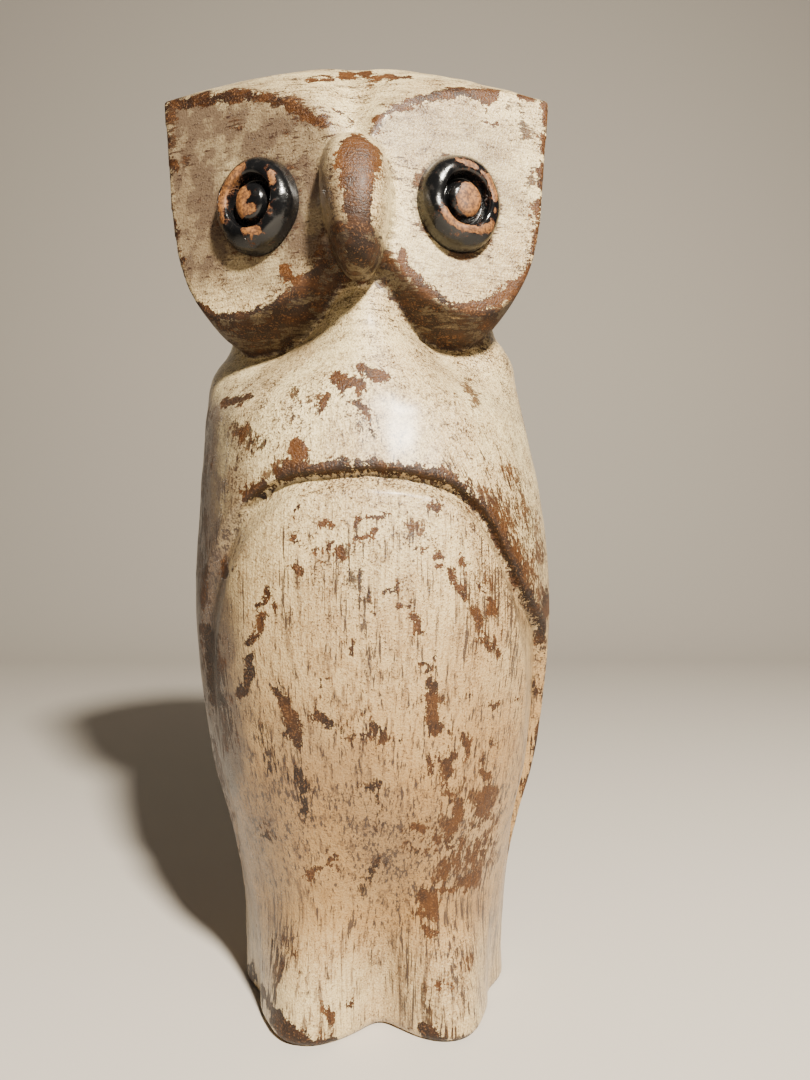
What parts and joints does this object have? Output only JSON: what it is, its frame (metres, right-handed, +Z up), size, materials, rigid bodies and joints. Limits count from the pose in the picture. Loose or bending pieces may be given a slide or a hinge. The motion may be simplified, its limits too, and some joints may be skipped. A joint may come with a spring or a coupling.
{
  "type": "carved wooden owl",
  "caption": "Painted standing owl carved from a log, with flat wedge-set eye discs, pointed ears, turned eye knobs, a ridge beak, folded wings and a flat underside to stand on.",
  "frame": {"origin": "centre of the log on the flat underside", "axes": "+Z up, -Y the way the owl faces, +X to the viewer's right"},
  "size_m": [0.1603, 0.1636, 0.3906],
  "materials": {
    "rubbed_cream_paint": "cream paint over reddish brown, rubbed through along the edges and waxed to a low sheen",
    "black_gloss_paint": "gloss black paint, chipped to bare tan wood"
  },
  "bodies": {
    "root": {"owl": "rubbed_cream_paint", "left_eye": "black_gloss_paint", "right_eye": "black_gloss_paint"}
  },
  "joints": []
}
